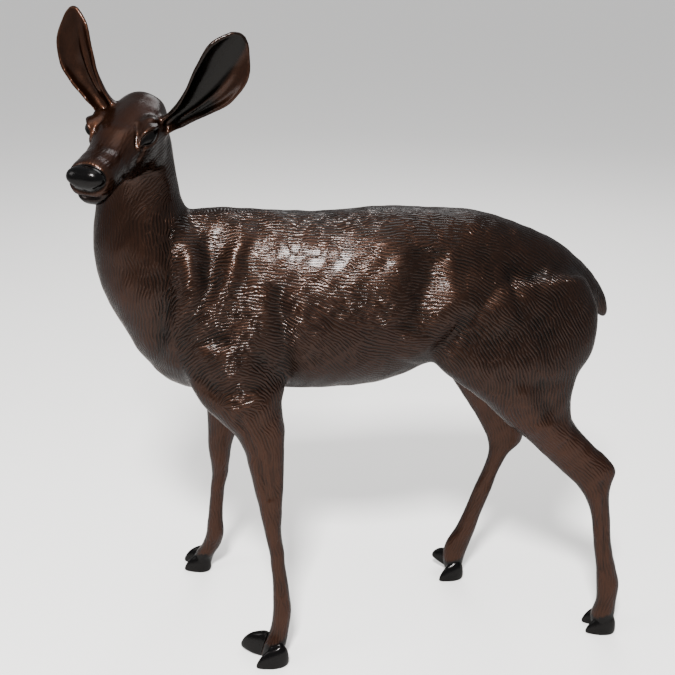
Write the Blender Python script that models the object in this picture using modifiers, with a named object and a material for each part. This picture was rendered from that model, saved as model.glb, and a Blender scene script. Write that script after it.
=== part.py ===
"""A life-size doe in cast bronze, standing with one fore and one hind leg forward.

Its head is turned over its left side and its ears are spread. The figure faces -X, its left
side is -Y and it stands on z = 0. It is one casting, so it is one solid. Pose, proportions and
carving are shares of WITHERS_HEIGHT; walls, gaps and facet sizes are in metres.
"""

import math

import bmesh
import bpy
import numpy as np

WITHERS_HEIGHT = 0.98
EAR_WALL = 0.011
CLAW_CLEFT = 0.005
MODEL_GRAIN = 0.0045
BODY_TRIANGLES = 8550
# Weights that leave the head's triangles finer than the body's, above this share of the height.
HEAD_FROM = 1.02
HEAD_CARE = 0.0001

RING_POINTS = 28
CLAW_POINTS = 12
LINE_POINTS = 13
NEAR, FAR = -1, 1

# The flesh between these shares of the height is softened more, fading in and out.
FLESH_BELOW = (0.50, 0.64)
FLESH_ABOVE = (0.98, 1.06)
LIGHT_PASSES = 4
HEAVY_PASSES = 60
# The head is softened this many times, as far out as these shares of its length from its middle.
HEAD_PASSES = 9
HEAD_MIDDLE = (0.480, 0.000, -0.200)
HEAD_SPREAD = (0.640, 0.360, 0.360)

# The trunk, sliced across its length: x, top z, bottom z, half width, share narrower at the top.
TRUNK = (
    (-0.535, 0.860, 0.740, 0.050, 0.00),
    (-0.500, 0.920, 0.679, 0.088, 0.05),
    (-0.440, 0.979, 0.619, 0.112, 0.12),
    (-0.360, 1.002, 0.598, 0.122, 0.26),
    (-0.250, 0.998, 0.605, 0.134, 0.30),
    (-0.120, 0.990, 0.601, 0.150, 0.24),
    (0.020, 0.998, 0.614, 0.153, 0.20),
    (0.120, 0.993, 0.653, 0.138, 0.20),
    (0.220, 0.984, 0.685, 0.120, 0.16),
    (0.320, 0.950, 0.680, 0.108, 0.16),
    (0.400, 0.912, 0.660, 0.088, 0.12),
    (0.450, 0.872, 0.680, 0.064, 0.08),
    (0.485, 0.838, 0.725, 0.034, 0.00),
)

# The neck, sliced level: z, front x, back x, middle y, half width.
NECK = (
    (0.680, -0.500, -0.250, 0.000, 0.085),
    (0.750, -0.540, -0.230, 0.000, 0.112),
    (0.840, -0.578, -0.250, 0.000, 0.118),
    (0.900, -0.588, -0.290, 0.000, 0.108),
    (0.960, -0.585, -0.370, -0.002, 0.096),
    (1.020, -0.573, -0.400, -0.006, 0.084),
    (1.080, -0.560, -0.408, -0.014, 0.075),
    (1.140, -0.548, -0.413, -0.024, 0.068),
    (1.190, -0.532, -0.424, -0.034, 0.058),
)

# The legs, sliced level: z, front x, back x, middle y away from the midplane, half width.
LEGS = {
    "near_fore": (NEAR, (
        (0.740, -0.420, -0.215, 0.088, 0.050),
        (0.660, -0.405, -0.212, 0.098, 0.052),
        (0.600, -0.374, -0.207, 0.105, 0.049),
        (0.567, -0.342, -0.205, 0.109, 0.043),
        (0.535, -0.311, -0.202, 0.113, 0.037),
        (0.501, -0.293, -0.205, 0.118, 0.033),
        (0.446, -0.280, -0.207, 0.125, 0.028),
        (0.391, -0.269, -0.211, 0.132, 0.024),
        (0.350, -0.261, -0.214, 0.138, 0.023),
        (0.315, -0.254, -0.216, 0.143, 0.022),
        (0.279, -0.247, -0.213, 0.148, 0.018),
        (0.192, -0.239, -0.206, 0.160, 0.017),
        (0.150, -0.239, -0.201, 0.165, 0.019),
        (0.120, -0.240, -0.199, 0.169, 0.021),
        (0.075, -0.247, -0.205, 0.175, 0.020),
        (0.040, -0.262, -0.212, 0.182, 0.024),
        (0.012, -0.270, -0.220, 0.184, 0.020),
    )),
    "far_fore": (FAR, (
        (0.740, -0.450, -0.245, 0.088, 0.050),
        (0.660, -0.432, -0.240, 0.098, 0.052),
        (0.600, -0.410, -0.250, 0.106, 0.049),
        (0.557, -0.388, -0.262, 0.111, 0.042),
        (0.510, -0.381, -0.282, 0.118, 0.034),
        (0.450, -0.381, -0.304, 0.127, 0.028),
        (0.390, -0.383, -0.324, 0.134, 0.024),
        (0.339, -0.379, -0.332, 0.140, 0.023),
        (0.303, -0.378, -0.338, 0.145, 0.019),
        (0.267, -0.382, -0.346, 0.149, 0.017),
        (0.193, -0.391, -0.356, 0.159, 0.017),
        (0.150, -0.397, -0.357, 0.165, 0.020),
        (0.115, -0.402, -0.357, 0.170, 0.021),
        (0.078, -0.414, -0.366, 0.180, 0.020),
        (0.040, -0.436, -0.386, 0.190, 0.023),
        (0.012, -0.448, -0.394, 0.195, 0.019),
    )),
    "near_hind": (NEAR, (
        (0.860, 0.200, 0.440, 0.070, 0.050),
        (0.780, 0.150, 0.472, 0.085, 0.060),
        (0.700, 0.108, 0.464, 0.098, 0.066),
        (0.645, 0.155, 0.434, 0.106, 0.062),
        (0.592, 0.222, 0.420, 0.112, 0.052),
        (0.540, 0.276, 0.427, 0.116, 0.041),
        (0.503, 0.322, 0.453, 0.118, 0.034),
        (0.471, 0.355, 0.483, 0.119, 0.029),
        (0.440, 0.386, 0.516, 0.119, 0.026),
        (0.410, 0.417, 0.535, 0.120, 0.025),
        (0.380, 0.448, 0.528, 0.122, 0.024),
        (0.350, 0.469, 0.525, 0.124, 0.023),
        (0.310, 0.485, 0.529, 0.128, 0.020),
        (0.228, 0.499, 0.540, 0.134, 0.018),
        (0.165, 0.509, 0.555, 0.138, 0.019),
        (0.125, 0.513, 0.565, 0.141, 0.022),
        (0.080, 0.515, 0.562, 0.145, 0.020),
        (0.040, 0.507, 0.561, 0.144, 0.024),
        (0.012, 0.508, 0.554, 0.144, 0.020),
    )),
    "far_hind": (FAR, (
        (0.860, 0.160, 0.420, 0.070, 0.050),
        (0.780, 0.110, 0.442, 0.085, 0.060),
        (0.700, 0.110, 0.442, 0.096, 0.066),
        (0.640, 0.140, 0.425, 0.101, 0.062),
        (0.590, 0.176, 0.400, 0.103, 0.053),
        (0.540, 0.210, 0.378, 0.104, 0.043),
        (0.495, 0.239, 0.372, 0.104, 0.035),
        (0.450, 0.267, 0.376, 0.103, 0.029),
        (0.412, 0.287, 0.385, 0.102, 0.026),
        (0.382, 0.299, 0.381, 0.102, 0.024),
        (0.349, 0.302, 0.350, 0.102, 0.023),
        (0.316, 0.295, 0.334, 0.102, 0.020),
        (0.249, 0.271, 0.314, 0.103, 0.018),
        (0.181, 0.248, 0.292, 0.104, 0.018),
        (0.135, 0.230, 0.280, 0.105, 0.021),
        (0.095, 0.207, 0.268, 0.105, 0.020),
        (0.055, 0.200, 0.256, 0.106, 0.023),
        (0.020, 0.206, 0.250, 0.106, 0.020),
    )),
}

# Muscles of both sides: middle (x, y, z), half sizes (x, y, z), pitch in degrees.
HAUNCH = (
    ((0.255, 0.090, 0.752), (0.155, 0.060, 0.092), 36),
    ((0.350, 0.070, 0.772), (0.114, 0.050, 0.104), 20),
    ((0.110, 0.080, 0.845), (0.060, 0.036, 0.080), 70),
)
SHOULDER = (
    ((-0.285, 0.092, 0.725), (0.115, 0.042, 0.070), 62),
    ((-0.405, 0.070, 0.745), (0.075, 0.044, 0.085), -15),
    ((-0.216, 0.106, 0.634), (0.018, 0.018, 0.030), 0),
)
FAR_SHOULDER_FORWARD = 0.035
TAIL = ((0.500, 0.000, 0.788), (0.062, 0.026, 0.025), -70)

# The head's own frame: its poll, the way its nose points, its length and its sideways tilt.
POLL = (-0.466, -0.030, 1.239)
NOSE_WAY = (-0.315, -0.856, -0.411)
HEAD_LENGTH = 0.275
HEAD_TILT = 6.0
# Sliced across the nose's way, in shares of the head's length: place, top, bottom, half width.
HEAD = (
    (-0.100, -0.080, -0.260, 0.090),
    (-0.020, -0.005, -0.400, 0.170),
    (0.100, 0.008, -0.475, 0.212),
    (0.230, 0.018, -0.480, 0.230),
    (0.360, 0.014, -0.450, 0.222),
    (0.480, 0.010, -0.405, 0.195),
    (0.620, -0.008, -0.355, 0.165),
    (0.760, 0.005, -0.325, 0.148),
    (0.880, 0.020, -0.305, 0.148),
    (0.960, 0.000, -0.275, 0.127),
    (0.998, -0.050, -0.215, 0.088),
)
# Brows, eyes and cheeks: place along, out to each side, up, half sizes, as the head is sliced.
HEAD_FORMS = (
    (0.350, 0.202, -0.042, (0.120, 0.064, 0.052)),
    (0.405, 0.202, -0.118, (0.078, 0.070, 0.062)),
    (0.230, 0.170, -0.300, (0.170, 0.060, 0.140)),
    (0.950, 0.052, -0.058, (0.070, 0.086, 0.075)),
)


# Each ear: root and tip, the way its cup opens, half width, sideways bow, how wide its base is.
EARS = (
    ((-0.442, -0.055, 1.168), (-0.264, -0.125, 1.350), (0.15, -0.90, -0.10), 0.049, 0.0175, 0.85),
    ((-0.512, -0.040, 1.194), (-0.580, -0.040, 1.397), (-0.25, -0.90, 0.10), 0.034, -0.0235, 1.35),
)
# A leaf's half width along its length, and how far its edges curl towards each other, in degrees.
EAR_LEAF = (
    (0.00, 0.34, 130.0),
    (0.16, 0.38, 122.0),
    (0.27, 0.43, 108.0),
    (0.44, 0.67, 84.0),
    (0.64, 0.94, 62.0),
    (0.82, 0.92, 48.0),
    (0.95, 0.48, 36.0),
    (1.00, 0.12, 20.0),
)


# Each claw: its leg, toe and heel, the toe's rise, and how large it is. A place is how far behind
# the leg's end it is and how far out from it, in widths of a claw.
CLAWS = {
    "near_fore_outer": ("near_fore", (-0.036, 0.84), (0.036, 0.46), 0.000, 1.02),
    "near_fore_inner": ("near_fore", (-0.066, -1.14), (0.000, -0.48), 0.006, 1.15),
    "far_fore_outer": ("far_fore", (-0.046, 0.78), (0.023, 0.58), 0.000, 1.00),
    "far_fore_inner": ("far_fore", (-0.043, -0.36), (0.026, -0.42), 0.000, 1.00),
    "near_hind_outer": ("near_hind", (-0.040, 0.36), (0.031, 0.36), 0.000, 1.00),
    "near_hind_inner": ("near_hind", (-0.036, -0.72), (0.031, -0.62), 0.000, 1.00),
    "far_hind_outer": ("far_hind", (-0.050, 0.98), (0.018, 0.50), 0.032, 1.00),
    "far_hind_inner": ("far_hind", (-0.042, -0.86), (0.022, -0.34), 0.000, 1.00),
}
CLAW_WIDTH = 0.037
CLAW_HEIGHT = 0.047
# Its rings: share of the height, share of the sole's size, how far back; and its falling top.
CLAW_LEVELS = (
    (0.00, 0.93, 0.00),
    (0.12, 1.00, 0.01),
    (0.42, 0.93, 0.09),
    (0.70, 0.76, 0.19),
    (0.90, 0.52, 0.27),
    (1.00, 0.24, 0.31),
)
CLAW_SLOPE = 0.06

# Ridges and valleys drawn on both flanks, fading out at their ends: points (x, z), reach and
# height, which is below 0 for a valley.
SHOULDER_LINES = (
    (((-0.378, 0.975), (-0.388, 0.850), (-0.450, 0.720)), 0.020, 0.012),
    (((-0.346, 0.960), (-0.358, 0.860), (-0.425, 0.720)), 0.015, -0.011),
    (((-0.278, 0.975), (-0.306, 0.880), (-0.370, 0.780), (-0.420, 0.720)), 0.020, 0.011),
    (((-0.256, 0.960), (-0.266, 0.870), (-0.315, 0.770)), 0.015, -0.007),
    (((-0.226, 0.950), (-0.240, 0.800), (-0.230, 0.660)), 0.020, 0.008),
    (((-0.412, 0.980), (-0.440, 0.810), (-0.480, 0.660)), 0.020, -0.012),
    (((-0.214, 0.870), (-0.202, 0.740), (-0.188, 0.620)), 0.020, -0.014),
    (((-0.395, 0.700), (-0.335, 0.650), (-0.240, 0.655)), 0.018, -0.007),
)
FLANK_LINES = (
    (((0.088, 0.920), (0.082, 0.850), (0.075, 0.790)), 0.030, 0.009),
    (((0.140, 0.930), (0.125, 0.820), (0.085, 0.710)), 0.034, -0.018),
    (((0.150, 0.910), (0.240, 0.900), (0.340, 0.850)), 0.028, -0.009),
    (((0.080, 0.700), (0.150, 0.810), (0.280, 0.855)), 0.026, 0.008),
    (((0.235, 0.672), (0.340, 0.646), (0.450, 0.655)), 0.014, -0.008),
    (((0.345, 0.660), (0.350, 0.550)), 0.026, -0.009),
    (((0.280, 0.630), (0.330, 0.570), (0.400, 0.500)), 0.022, 0.005),
)
# The same on both sides of the head, in shares of its length: along, out, up, reach, height.
HEAD_TOUCHES = (
    (0.410, 0.275, -0.155, 0.040, -0.022),
    (0.400, 0.275, -0.110, 0.036, 0.018),
    (0.375, 0.265, -0.070, 0.030, -0.016),
    (0.560, 0.130, -0.120, 0.110, -0.012),
    (0.985, 0.085, -0.095, 0.030, -0.030),
    (0.600, 0.150, -0.270, 0.100, -0.012),
)
# Tendon grooves of the legs: points (x, y, z), reach, height.
LEG_LINES = (
    (((-0.305, -0.150, 0.600), (-0.268, -0.155, 0.500), (-0.240, -0.155, 0.390)), 0.008, -0.005),
    (((-0.265, -0.160, 0.610), (-0.235, -0.155, 0.500), (-0.225, -0.155, 0.390)), 0.007, -0.004),
    (((-0.340, 0.150, 0.580), (-0.340, 0.152, 0.480), (-0.352, 0.155, 0.370)), 0.008, -0.005),
    (((-0.225, -0.168, 0.300), (-0.223, -0.178, 0.240), (-0.220, -0.184, 0.160)), 0.007, -0.004),
    (((-0.352, 0.160, 0.310), (-0.358, 0.165, 0.250), (-0.365, 0.176, 0.170)), 0.007, -0.004),
    (((0.498, -0.145, 0.400), (0.512, -0.150, 0.300), (0.520, -0.154, 0.160)), 0.007, -0.004),
    (((0.350, 0.125, 0.410), (0.318, 0.122, 0.300), (0.283, 0.122, 0.180)), 0.007, -0.004),
)
# The mouth, along the head as it is sliced: along, out, up.
MOUTH = ((1.000, 0.020, -0.185), (0.940, 0.130, -0.195), (0.760, 0.155, -0.185))
MOUTH_REACH = 0.022
MOUTH_DEPTH = 0.028

BRONZE = (0.055, 0.026, 0.014, 1.0)


def metres(values):
    """Turn shares of the withers' height into metres."""
    return np.asarray(values, dtype=float) * WITHERS_HEIGHT


def smooth_rows(rows, count):
    """Read `count` rows off the smooth curve through the given rows."""
    rows = np.asarray(rows, dtype=float)
    steps = np.linalg.norm(np.diff(rows[:, :3], axis=0), axis=1)
    places = np.concatenate(([0.0], np.cumsum(steps)))
    slopes = np.gradient(rows, places, axis=0)
    wanted = np.linspace(0.0, places[-1], count)
    left = np.clip(np.searchsorted(places, wanted, side="right") - 1, 0, len(places) - 2)
    width = (places[left + 1] - places[left])[:, None]
    t = (wanted - places[left])[:, None] / width
    return ((2 * t**3 - 3 * t**2 + 1) * rows[left] + (t**3 - 2 * t**2 + t) * width * slopes[left]
            + (3 * t**2 - 2 * t**3) * rows[left + 1] + (t**3 - t**2) * width * slopes[left + 1])


def ring_circle(count=RING_POINTS):
    angles = np.linspace(0.0, 2 * math.pi, count, endpoint=False)
    return np.cos(angles), np.sin(angles)


def skin(name, rings):
    """Close a stack of rings into one mesh object."""
    count, around = rings.shape[:2]
    faces = [[i * around + j, i * around + (j + 1) % around,
              (i + 1) * around + (j + 1) % around, (i + 1) * around + j]
             for i in range(count - 1) for j in range(around)]
    faces.append(list(range(around)))
    faces.append(list(range((count - 1) * around, count * around)))
    mesh = bpy.data.meshes.new(name)
    mesh.from_pydata(rings.reshape(-1, 3).tolist(), [], faces)
    shell = bmesh.new()
    shell.from_mesh(mesh)
    bmesh.ops.recalc_face_normals(shell, faces=shell.faces)
    shell.to_mesh(mesh)
    shell.free()
    made = bpy.data.objects.new(name, mesh)
    bpy.context.scene.collection.objects.link(made)
    return made


def trunk():
    rows = smooth_rows(TRUNK, 60)
    x, top, bottom, half, taper = [metres(rows[:, i])[:, None] for i in range(5)]
    taper = taper / WITHERS_HEIGHT
    cos, sin = ring_circle()
    z = (top + bottom) / 2 + (top - bottom) / 2 * cos
    y = half * sin * (1.0 - taper * (cos + 0.25))
    return skin("trunk", np.stack([np.broadcast_to(x, y.shape), y, z], axis=2))


def level_limb(name, side, rows):
    """A limb or neck sliced level, from rows of z, front, back, middle y and half width."""
    rows = metres(smooth_rows(rows, 5 * len(rows)))
    z, front, back, middle, half = [rows[:, i][:, None] for i in range(5)]
    cos, sin = ring_circle()
    x = (front + back) / 2 + (back - front) / 2 * cos
    y = side * middle + half * sin
    return skin(name, np.stack([x, y, np.broadcast_to(z, x.shape)], axis=2))


def head_frame():
    ahead = np.array(NOSE_WAY) / np.linalg.norm(NOSE_WAY)
    right = np.cross(ahead, (0.0, 0.0, 1.0))
    right /= np.linalg.norm(right)
    above = np.cross(right, ahead)
    cos, sin = math.cos(math.radians(HEAD_TILT)), math.sin(math.radians(HEAD_TILT))
    return ahead, right * cos + above * sin, above * cos - right * sin


def head_point(along, out, up):
    """A place on the head, in metres, from shares of its length."""
    ahead, right, above = head_frame()
    shares = along * ahead + out * right + up * above
    return metres(np.array(POLL) + HEAD_LENGTH * shares)


def on_head(points):
    """1 inside an egg round the face, fading to 0 just outside it."""
    shares = (points / WITHERS_HEIGHT - np.array(POLL)) @ np.array(head_frame()).T / HEAD_LENGTH
    away = np.linalg.norm((shares - HEAD_MIDDLE) / HEAD_SPREAD, axis=1)
    return 1.0 - ramp(away, 0.95, 1.15)


def head():
    rows = smooth_rows(HEAD, 50)
    cos, sin = ring_circle()
    rings = []
    for along, top, bottom, half in rows:
        up = (top + bottom) / 2 + (top - bottom) / 2 * cos
        out = half * sin * (1.0 + 0.22 * cos)
        rings.append([head_point(along, o, u) for o, u in zip(out, up)])
    return skin("head", np.array(rings))


def ball(name, middle, axes):
    """An egg with the given middle and three half axes, all in metres."""
    mesh = bpy.data.meshes.new(name)
    egg = bmesh.new()
    bmesh.ops.create_uvsphere(egg, u_segments=32, v_segments=20, radius=1.0)
    axes = np.array(axes)
    for vert in egg.verts:
        vert.co = middle + np.array(vert.co) @ axes
    bmesh.ops.recalc_face_normals(egg, faces=egg.faces)
    egg.to_mesh(mesh)
    egg.free()
    made = bpy.data.objects.new(name, mesh)
    bpy.context.scene.collection.objects.link(made)
    return made


def muscle(side, middle, halves, pitch):
    turn = math.radians(pitch)
    x, y, z = middle
    axes = ((halves[0] * math.cos(turn), 0.0, halves[0] * math.sin(turn)),
            (0.0, halves[1], 0.0),
            (-halves[2] * math.sin(turn), 0.0, halves[2] * math.cos(turn)))
    return ball("muscle", metres((x, side * y, z)), metres(axes))


def head_forms():
    ahead, right, above = head_frame()
    made = []
    for along, out, up, halves in HEAD_FORMS:
        axes = metres([way * half * HEAD_LENGTH for way, half in zip((ahead, right, above), halves)])
        made += [ball("head_form", head_point(along, side * out, up), axes) for side in (NEAR, FAR)]
    return made


def ear(root, tip, opening, half_width, bow, base):
    """A leaf whose cross-section is an arc, thickened to the ear's wall."""
    root, tip = metres(root), metres(tip)
    axis = tip - root
    length = np.linalg.norm(axis)
    axis /= length
    opening = np.array(opening) - np.dot(opening, axis) * axis
    opening /= np.linalg.norm(opening)
    side = np.cross(axis, opening)
    rows = smooth_rows(EAR_LEAF, 26)
    spread = np.linspace(-1.0, 1.0, 15)
    points = []
    for along, width, curl in rows:
        curl = math.radians(curl)
        width *= 1.0 + (base - 1.0) * (1.0 - along)**2 * 2
        radius = metres(half_width) * width / math.sin(min(curl, math.pi / 2))
        turn = spread * curl
        bowed = root + axis * along * length + side * metres(bow) * math.sin(math.pi * along)
        points.append(bowed + np.outer(radius * np.sin(turn), side)
                      + np.outer(radius * (1.0 - np.cos(turn)), opening))
    points = np.array(points)
    count, around = points.shape[:2]
    faces = [[i * around + j, i * around + j + 1, (i + 1) * around + j + 1, (i + 1) * around + j]
             for i in range(count - 1) for j in range(around - 1)]
    mesh = bpy.data.meshes.new("ear")
    mesh.from_pydata(points.reshape(-1, 3).tolist(), [], faces)
    made = bpy.data.objects.new("ear", mesh)
    bpy.context.scene.collection.objects.link(made)
    wall = made.modifiers.new("wall", "SOLIDIFY")
    wall.thickness = EAR_WALL
    wall.offset = 0.0
    return made


def beside_leg(leg, behind, out):
    """A place on the floor, from how far behind a leg's end and how many claws out it is."""
    side, rows = LEGS[leg]
    front, back, middle = rows[-1][1:4]
    return metres(((front + back) / 2 + behind, side * (middle + out * CLAW_WIDTH)))


def claw(name, leg, toe, heel, rise, large):
    """One half of a hoof: an almond sole, walls leaning back and a domed top."""
    toe, heel = beside_leg(leg, *toe), beside_leg(leg, *heel)
    middle = (toe + heel) / 2
    length = np.linalg.norm(toe - heel)
    way = (toe - heel) / length
    across = np.array((-way[1], way[0]))
    reach = large * length / 2
    half = large * (metres(CLAW_WIDTH) - CLAW_CLEFT) / 2
    cos, sin = ring_circle(CLAW_POINTS)
    rings = []
    for level, size, back in CLAW_LEVELS:
        along = reach * (size * cos - back)
        wide = half * size * sin * (1.0 - 0.35 * cos)
        plan = middle + np.outer(along, way) + np.outer(wide, across)
        height = large * metres(CLAW_HEIGHT) * level * (1.0 - CLAW_SLOPE * cos)
        height += metres(rise) * (1.0 + along / reach) / 2
        rings.append(np.column_stack([plan, height]))
    return skin(name, np.array(rings))


def evaluated_mesh(made):
    graph = bpy.context.evaluated_depsgraph_get()
    return bpy.data.meshes.new_from_object(made.evaluated_get(graph))


def join(name, pieces):
    """Gather pieces into one object, each as its modifiers leave it."""
    gathered = bmesh.new()
    for piece in pieces:
        gathered.from_mesh(evaluated_mesh(piece))
        bpy.data.objects.remove(piece)
    mesh = bpy.data.meshes.new(name)
    gathered.to_mesh(mesh)
    gathered.free()
    made = bpy.data.objects.new(name, mesh)
    bpy.context.scene.collection.objects.link(made)
    return made


def baked(made):
    """Replace an object's mesh by what its modifiers make of it."""
    made.data = evaluated_mesh(made)
    made.modifiers.clear()
    return made


def soften(points, edges, passes, amounts):
    """Move each point towards the mean of its neighbours by its own amount, again and again."""
    ends = np.concatenate((edges[:, 0], edges[:, 1]))
    others = np.concatenate((edges[:, 1], edges[:, 0]))
    neighbours = np.bincount(ends, minlength=len(points))
    for _ in range(passes):
        total = [np.bincount(ends, points[others, i], len(points)) for i in range(3)]
        points = points + amounts[:, None] * (np.column_stack(total) / neighbours[:, None] - points)
    return points


def ramp(values, low, high):
    """Rise smoothly from 0 at `low` to 1 at `high`."""
    share = np.clip((values - low) / (high - low), 0.0, 1.0)
    return share * share * (3.0 - 2.0 * share)


def to_line(points, line):
    """How far each point is from a curve, and where along the curve its nearest place is."""
    curve = smooth_rows(line, LINE_POINTS)
    nearest = np.full(len(points), np.inf)
    place = np.zeros(len(points))
    for index, (start, end) in enumerate(zip(curve[:-1], curve[1:])):
        run = end - start
        share = np.clip((points - start) @ run / np.dot(run, run), 0.0, 1.0)
        away = np.linalg.norm(points - start - share[:, None] * run, axis=1)
        place = np.where(away < nearest, (index + share) / (LINE_POINTS - 1), place)
        nearest = np.minimum(nearest, away)
    return nearest, place


def bell(away, reach):
    return np.exp(-(away / metres(reach))**2)


def ridge(points, line, reach, height):
    """A rise along a curve that fades at both of its ends."""
    away, place = to_line(points, metres(line))
    return metres(height) * bell(away, reach) * np.sqrt(np.clip(4 * place * (1 - place), 0.0, 1.0))


def carve_flesh(points, normals):
    """Raise and press both flanks along their lines."""
    rise = np.zeros(len(points))
    flat = points * (1.0, 0.0, 1.0)
    for side, step in ((NEAR, 0.0), (FAR, FAR_SHOULDER_FORWARD)):
        outside = ramp(side * normals[:, 1], 0.0, 0.5)
        lines = [([(x - step, z) for x, z in line], *rest) for line, *rest in SHOULDER_LINES]
        for line, reach, height in (*lines, *FLANK_LINES):
            rise += outside * ridge(flat, [(x, 0.0, z) for x, z in line], reach, height)
    return points + normals * rise[:, None]


def carve_details(points, normals):
    """Press the tendons of the legs, the mouth and the touches of the head."""
    rise = np.zeros(len(points))
    for side in (NEAR, FAR):
        for along, out, up, reach, height in HEAD_TOUCHES:
            away = np.linalg.norm(points - head_point(along, side * out, up), axis=1)
            rise += metres(height * HEAD_LENGTH) * bell(away, reach * HEAD_LENGTH)
        line = np.array([head_point(along, side * out, up) for along, out, up in MOUTH])
        away = to_line(points, line)[0]
        rise -= metres(MOUTH_DEPTH * HEAD_LENGTH) * bell(away, MOUTH_REACH * HEAD_LENGTH)
    for line, reach, height in LEG_LINES:
        rise += ridge(points, line, reach, height)
    return points + normals * rise[:, None]


def normals_of(mesh, points):
    """Put the points into the mesh and read its normals."""
    mesh.vertices.foreach_set("co", points.ravel())
    mesh.update()
    normals = np.empty(points.size)
    mesh.vertices.foreach_get("normal", normals)
    return normals.reshape(-1, 3)


def shape_surface(mesh):
    """Soften the joins between the fleshy forms and carve them."""
    points = np.empty(3 * len(mesh.vertices))
    mesh.vertices.foreach_get("co", points)
    edges = np.empty(2 * len(mesh.edges), dtype=np.int32)
    mesh.edges.foreach_get("vertices", edges)
    points, edges = points.reshape(-1, 3), edges.reshape(-1, 2)
    height = points[:, 2] / WITHERS_HEIGHT
    fleshy = ramp(height, *FLESH_BELOW) * (1.0 - ramp(height, *FLESH_ABOVE))
    points = soften(points, edges, LIGHT_PASSES, np.full(len(points), 0.5))
    points = soften(points, edges, HEAVY_PASSES, 0.6 * fleshy)
    points = soften(points, edges, HEAD_PASSES, 0.6 * on_head(points))
    points = carve_flesh(points, normals_of(mesh, points))
    points = soften(points, edges, LIGHT_PASSES, 0.5 * fleshy)
    points = carve_details(points, normals_of(mesh, points))
    normals_of(mesh, points)


def doe():
    forms = [trunk(), level_limb("neck", FAR, NECK), head()]
    forms += [level_limb(name, side, rows) for name, (side, rows) in LEGS.items()]
    for side, step in ((NEAR, 0.0), (FAR, FAR_SHOULDER_FORWARD)):
        forms += [muscle(side, *row) for row in HAUNCH]
        forms += [muscle(side, (x - step, y, z), *rest) for (x, y, z), *rest in SHOULDER]
    forms.append(muscle(NEAR, *TAIL))
    forms += head_forms()
    forms += [ear(*row) for row in EARS]
    body = join("doe", forms)
    grain = body.modifiers.new("grain", "REMESH")
    grain.mode = "VOXEL"
    grain.voxel_size = MODEL_GRAIN
    baked(body)
    shape_surface(body.data)
    triangles = sum(len(face.vertices) - 2 for face in body.data.polygons)
    facets = body.modifiers.new("facets", "DECIMATE")
    facets.ratio = min(1.0, BODY_TRIANGLES / triangles)
    keep = body.vertex_groups.new(name="fine")
    for vert in body.data.vertices:
        height = vert.co.z / WITHERS_HEIGHT
        keep.add([vert.index], 0.5 if height > HEAD_FROM else 1.0, "REPLACE")
    facets.vertex_group = keep.name
    facets.vertex_group_factor = HEAD_CARE
    facets.use_collapse_triangulate = True
    baked(body)
    return body


def stand_at_origin(body):
    """Put the middle of the figure's box over the origin."""
    points = np.empty(3 * len(body.data.vertices))
    body.data.vertices.foreach_get("co", points)
    points = points.reshape(-1, 3)
    middle = (points.min(axis=0) + points.max(axis=0)) / 2
    body.location = (-middle[0], -middle[1], 0.0)


def main():
    for made in list(bpy.data.objects):
        bpy.data.objects.remove(made)
    body = doe()
    claws = [claw(name, *row) for name, row in CLAWS.items()]
    for piece in claws:
        joint = body.modifiers.new(piece.name, "BOOLEAN")
        joint.operation = "UNION"
        joint.object = piece
        piece.hide_render = True
        piece.display_type = "WIRE"
    baked(body)
    for piece in claws:
        bpy.data.objects.remove(piece)
    stand_at_origin(body)
    bronze = bpy.data.materials.new("patinated_bronze")
    bronze.use_nodes = True
    shader = bronze.node_tree.nodes["Principled BSDF"]
    shader.inputs["Base Color"].default_value = BRONZE
    shader.inputs["Metallic"].default_value = 1.0
    shader.inputs["Roughness"].default_value = 0.35
    body.data.materials.clear()
    body.data.materials.append(bronze)


main()
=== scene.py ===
# A life-size doe in cast bronze, turning its head over its left side, on a plain pale floor.
# The doe faces -X, its left side is -Y. Tables are in shares of its height at the withers.
import math

import bpy
import numpy as np
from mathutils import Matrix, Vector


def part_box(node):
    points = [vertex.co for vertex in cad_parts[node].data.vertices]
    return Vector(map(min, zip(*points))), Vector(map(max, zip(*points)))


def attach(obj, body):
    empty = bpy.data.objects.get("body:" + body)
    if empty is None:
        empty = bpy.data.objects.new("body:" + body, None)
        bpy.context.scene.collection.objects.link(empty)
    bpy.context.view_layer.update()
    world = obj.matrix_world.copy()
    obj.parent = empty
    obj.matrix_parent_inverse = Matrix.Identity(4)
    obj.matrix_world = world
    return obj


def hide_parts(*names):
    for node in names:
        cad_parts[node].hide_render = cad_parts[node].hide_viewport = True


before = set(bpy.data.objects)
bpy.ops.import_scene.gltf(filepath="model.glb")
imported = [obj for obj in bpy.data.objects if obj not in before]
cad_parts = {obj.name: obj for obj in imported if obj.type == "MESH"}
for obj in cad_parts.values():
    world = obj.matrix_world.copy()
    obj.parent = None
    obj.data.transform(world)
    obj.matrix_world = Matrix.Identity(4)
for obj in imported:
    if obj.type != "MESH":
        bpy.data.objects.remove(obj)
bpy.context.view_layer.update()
near, far = -1, 1

figure = {
    "withersHeight": 0.98,    # metres
    "grain": 0.0021,          # metres, how finely the forms are melted together
    "quickGrain": 0.0042,
    "triangles": 196000,
    "headCare": 0.30,         # below 1 leaves finer triangles there
    "headFrom": 1.04,         # the head begins here, in shares of the withers' height
}

# Softening: times over at the grain below, and how far a point moves each time.
softening = {
    "grain": 0.0045,          # metres; a finer grain needs more times, by its square
    "seams": (4, 0.5),        # everywhere, at the given grain
    "flesh": (60, 0.6),
    "face": (22, 0.6),
    "muscles": (8, 0.5),      # the flesh again, once it is carved
    "last": (2, 0.4),
    "hollows": (14, 0.6),     # the smooth copy that hollows are measured from
    "hollowDepth": 0.0016,    # metres
}

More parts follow.
